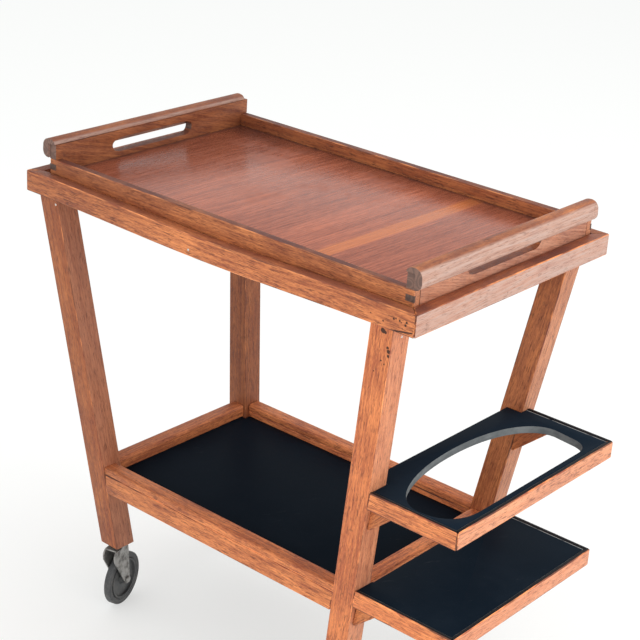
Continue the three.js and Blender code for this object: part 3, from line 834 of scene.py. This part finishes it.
class BARCART_OT_casters(BarCartOperator):
    """Make the four casters: stems, forks, axles, wheel discs and tyres"""

    bl_idname = "bar_cart.casters"
    bl_label = "Casters"

    def execute(self, context):
        steel = plated_steel("caster_steel")
        disc_finish = wheel_plastic("caster_disc_plastic")
        rubber = tyre_rubber("caster_tyre_rubber")
        tyre_model = self.turn_tyre()
        disc_model = self.turn_disc()
        for corner in CORNERS:
            swivel = f"{corner}_swivel"
            for part, body in (("stem", "frame"), ("fork", swivel), ("axle", swivel)):
                node = f"{corner}_caster_{part}"
                piece = copy_of(node, f"{node}_steel")
                paint(piece, [steel])
                ease_edges(piece, self.sizes.steel_edge, 2)
                smooth(piece)
                settle(piece, body, "dark_steel", node)
            spin = next(j for j in frame["joints"] if j["name"] == f"{corner}_wheel_spin")
            heading = math.atan2(spin["axis"][1], spin["axis"][0])
            place = Matrix.Translation(spin["pos_m"]) @ Matrix.Rotation(heading, 4, "Z")
            for part, model, finish, slot in (
                ("tyre", tyre_model, rubber, "rubber_tyre"),
                ("disc", disc_model, disc_finish, "wheel_disc"),
            ):
                self.place_copy(model, f"{corner}_{part}", place, finish,
                                f"{corner}_wheel", slot, f"{corner}_caster_{part}")
        for model in (tyre_model, disc_model):
            bpy.data.objects.remove(model)
        return {"FINISHED"}

    def place_copy(self, model, name, place, finish, body, slot, node):
        """Puts a copy of a wheel's model on its corner, in place of a CAD node."""
        piece = bpy.data.objects.new(name, model.data.copy())
        piece.data.name = name
        bpy.context.scene.collection.objects.link(piece)
        piece.data.transform(place)
        paint(piece, [finish])
        smooth(piece)
        settle(piece, body, slot, node)

    def wheel_blank(self, name, radius, width):
        """A cylinder lying along X at the origin."""
        bpy.ops.object.select_all(action="DESELECT")
        bpy.ops.mesh.primitive_cylinder_add(
            vertices=WHEEL_SEGMENTS, radius=radius, depth=width, rotation=(0.0, math.pi / 2, 0.0))
        blank = bpy.context.active_object
        blank.name = name
        bpy.ops.object.transform_apply(location=True, rotation=True, scale=True)
        return blank

    def step_in(self, blank, steps):
        """Works both ends of a blank inwards by steps of (in towards the axle, out along it)."""
        pick(blank)
        bpy.ops.object.mode_set(mode="EDIT")
        bpy.ops.mesh.select_mode(type="FACE")
        select_faces(blank.data, lambda face: abs(face.normal.x) > 0.9)
        for inwards, outwards in steps:
            bpy.ops.mesh.inset(thickness=inwards, depth=outwards, use_individual=True)

    def turn_tyre(self):
        """A tyre with rounded shoulders and a shallow step in each side, open at its middle."""
        low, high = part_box("front_left_caster_tyre")
        radius = (high.z - low.z) / 2
        tyre = self.wheel_blank("tyre_model", radius, TYRE_WIDTH)
        step = (0.0006, -0.0006)
        self.step_in(tyre, [(0.0020, 0.0), step, (0.0040, 0.0), step, (0.0018, 0.0)])
        bpy.ops.mesh.bridge_edge_loops()
        bpy.ops.mesh.select_all(action="SELECT")
        bpy.ops.mesh.normals_make_consistent(inside=False)
        bpy.ops.object.mode_set(mode="OBJECT")
        ease_edges(tyre, 0.0018, 4, limit=math.radians(60))
        return tyre

    def turn_disc(self):
        """A wheel disc with a raised rim, a sunk web and a hub."""
        low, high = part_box("front_left_caster_tyre")
        radius = (high.z - low.z) / 2 - TYRE_DEPTH - DISC_CLEARANCE
        disc = self.wheel_blank("disc_model", radius, DISC_WIDTH)
        rim = [(0.0024, 0.0), (0.0010, -0.0036)]
        hub = [(0.0170, 0.0), (0.0010, 0.0014), (0.0012, 0.0042)]
        self.step_in(disc, rim + hub)
        bpy.ops.object.mode_set(mode="OBJECT")
        ease_edges(disc, 0.0007, 3, limit=math.radians(35))
        return disc


class BARCART_OT_nails(BarCartOperator):
    """Make the nail heads that show on the front rail and at the leg tops"""

    bl_idname = "bar_cart.nails"
    bl_label = "Nails"

    def execute(self, context):
        low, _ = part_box("front_top_rail")
        leg_low, leg_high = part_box("front_right_leg")
        bright = nail_metal("nail_bright", (0.75, 0.72, 0.68))
        in_x, in_y = LEG_LEAN
        front_down = 0.0060
        side_down = 0.0136
        on_front = (1.0, 0.4, 1.0)
        on_side = (0.4, 1.0, 1.0)
        left = (-0.3030, leg_low.y + front_down * in_y, leg_high.z - front_down)
        right = (leg_high.x - side_down * in_x, -0.1779, leg_high.z - side_down)
        places = {
            "left_nail": (left, on_front),
            "middle_nail": ((-0.0576, low.y, 0.6232), on_front),
            "right_nail": (right, on_side),
        }
        for name, (place, flat) in places.items():
            bpy.ops.object.select_all(action="DESELECT")
            bpy.ops.mesh.primitive_uv_sphere_add(segments=20, ring_count=10, radius=self.sizes.nail)
            nail = bpy.context.active_object
            nail.name = nail.data.name = name
            bpy.ops.transform.resize(value=flat)
            bpy.ops.transform.translate(value=place)
            bpy.ops.object.transform_apply(location=True, rotation=True, scale=True)
            paint(nail, [bright])
            smooth(nail)
            settle(nail, "frame", "dark_steel")
        return {"FINISHED"}


class BARCART_OT_stage(BarCartOperator):
    """Make the pale floor, the studio lights and the camera"""

    bl_idname = "bar_cart.stage"
    bl_label = "Stage"

    def execute(self, context):
        self.make_floor()
        self.make_lights()
        self.make_camera()
        return {"FINISHED"}

    def make_floor(self):
        bpy.ops.object.select_all(action="DESELECT")
        bpy.ops.mesh.primitive_plane_add(size=60.0)
        floor = bpy.context.active_object
        floor.name = "studio_floor"
        finish = Finish("studio_floor_paint", roughness=0.9, shine=0.0)
        floor_color = bpy.context.scene.bar_cart_stage.floor
        finish.set("Base Color", opaque(shade_of(floor_color, FLOOR_SHADE)))
        finish.set("Emission Color", opaque(floor_color))
        finish.set("Emission Strength", FLOOR_GLOW)
        floor.data.materials.append(finish.material)

    def make_lights(self):
        world = bpy.data.worlds.new("studio")
        world.use_nodes = True
        sky = world.node_tree.nodes["Background"]
        sky.inputs["Color"].default_value = (1.0, 1.0, 1.0, 1.0)
        sky.inputs["Strength"].default_value = SKY_STRENGTH
        bpy.context.scene.world = world
        aim = Vector((0.0, 0.0, 0.35))
        for name, place, size, power in (
            ("top_softbox", (0.6, 1.2, 3.6), 2.4, 30.0),
            ("right_softbox", (3.2, 0.4, 1.1), 2.0, 38.0),
            ("front_softbox", (0.2, -3.6, 1.4), 2.2, 30.0),
        ):
            light = bpy.data.lights.new(name, "AREA")
            light.size = size
            light.energy = power
            lamp = bpy.data.objects.new(name, light)
            lamp.location = place
            lamp.rotation_euler = (aim - Vector(place)).to_track_quat("-Z", "Y").to_euler()
            bpy.context.scene.collection.objects.link(lamp)
        bpy.context.scene.view_settings.view_transform = "Standard"

    def make_camera(self):
        stage = bpy.context.scene.bar_cart_stage
        camera = bpy.data.objects.new("camera", bpy.data.cameras.new("camera"))
        bpy.context.scene.collection.objects.link(camera)
        back = Vector((
            math.sin(stage.azimuth) * math.cos(stage.elevation),
            -math.cos(stage.azimuth) * math.cos(stage.elevation),
            math.sin(stage.elevation)))
        level = (-back).cross(Vector((0.0, 0.0, 1.0))).normalized()
        upright = level.cross(-back)
        right = level * math.cos(stage.roll) + upright * math.sin(stage.roll)
        up = upright * math.cos(stage.roll) - level * math.sin(stage.roll)
        turned = Matrix((right, up, back)).transposed().to_4x4()
        camera.matrix_world = Matrix.Translation(stage.eye) @ turned
        camera.data.lens = stage.lens
        camera.data.sensor_width = 36.0
        camera.data.clip_end = 100.0
        bpy.context.scene.camera = camera


class BARCART_PT_panel(bpy.types.Panel):
    """Lists the cart's sizes, colours and operators"""

    bl_label = "Bar Cart"
    bl_space_type = "VIEW_3D"
    bl_region_type = "UI"
    bl_category = "Bar Cart"

    def draw(self, context):
        scene = context.scene
        for group in (scene.bar_cart_sizes, scene.bar_cart_colors, scene.bar_cart_stage):
            box = self.layout.box()
            for key in group.__annotations__:
                box.prop(group, key)
        for operator in OPERATORS:
            self.layout.operator(operator.bl_idname)


GROUPS = {
    "bar_cart_sizes": BarCartSizes,
    "bar_cart_colors": BarCartColors,
    "bar_cart_stage": BarCartStage,
}
OPERATORS = (
    BARCART_OT_stage,
    BARCART_OT_top_frame,
    BARCART_OT_legs,
    BARCART_OT_main_shelf,
    BARCART_OT_side_shelves,
    BARCART_OT_tray,
    BARCART_OT_handles,
    BARCART_OT_casters,
    BARCART_OT_nails,
)


def register():
    for group in GROUPS.values():
        bpy.utils.register_class(group)
    for name, group in GROUPS.items():
        setattr(bpy.types.Scene, name, bpy.props.PointerProperty(type=group))
    for operator in OPERATORS:
        bpy.utils.register_class(operator)
    bpy.utils.register_class(BARCART_PT_panel)


def unregister():
    bpy.utils.unregister_class(BARCART_PT_panel)
    for operator in reversed(OPERATORS):
        bpy.utils.unregister_class(operator)
    for name in GROUPS:
        delattr(bpy.types.Scene, name)
    for group in reversed(GROUPS.values()):
        bpy.utils.unregister_class(group)


def main():
    register()
    bpy.ops.object.select_all(action="DESELECT")
    for operator in OPERATORS:
        family, name = operator.bl_idname.split(".")
        getattr(getattr(bpy.ops, family), name)()


if __name__ == "__main__":
    main()
